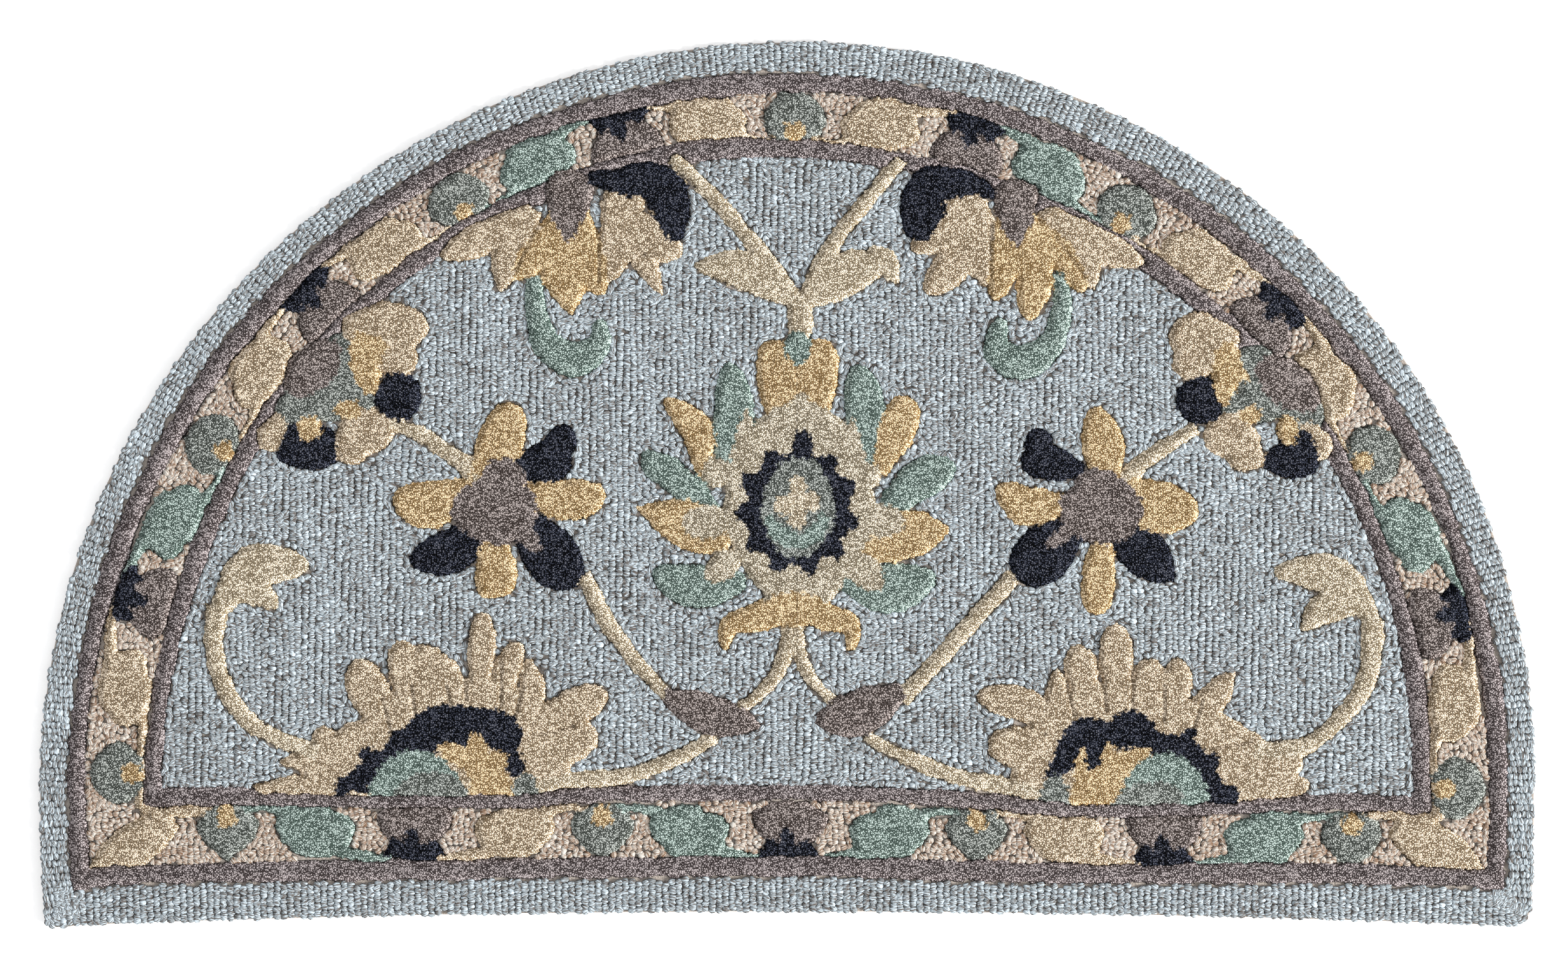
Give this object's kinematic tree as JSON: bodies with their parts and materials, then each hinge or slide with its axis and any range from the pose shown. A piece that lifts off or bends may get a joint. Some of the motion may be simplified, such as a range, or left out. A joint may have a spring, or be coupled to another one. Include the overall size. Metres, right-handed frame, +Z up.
{
  "type": "half-round hearth rug",
  "caption": "Half-round tufted wool hearth rug, a loop ground with raised cut-pile flowers, stems, guard stripes and a leafy border, lying flat.",
  "frame": {"origin": "on the floor under the middle of the rug's bounding box", "axes": "+Z up from the floor through the pile, +X along the straight side, to the right with the arch away, +Y from the straight side towards the arch"},
  "size_m": [1.1186, 0.6625, 0.011],
  "materials": {
    "tufted_wool": "blue-grey wool loops in columns, with cut-pile motifs in cream, tan, gold, sage, slate, mauve and navy yarn"
  },
  "bodies": {
    "root": {"rug": "tufted_wool"}
  },
  "joints": []
}
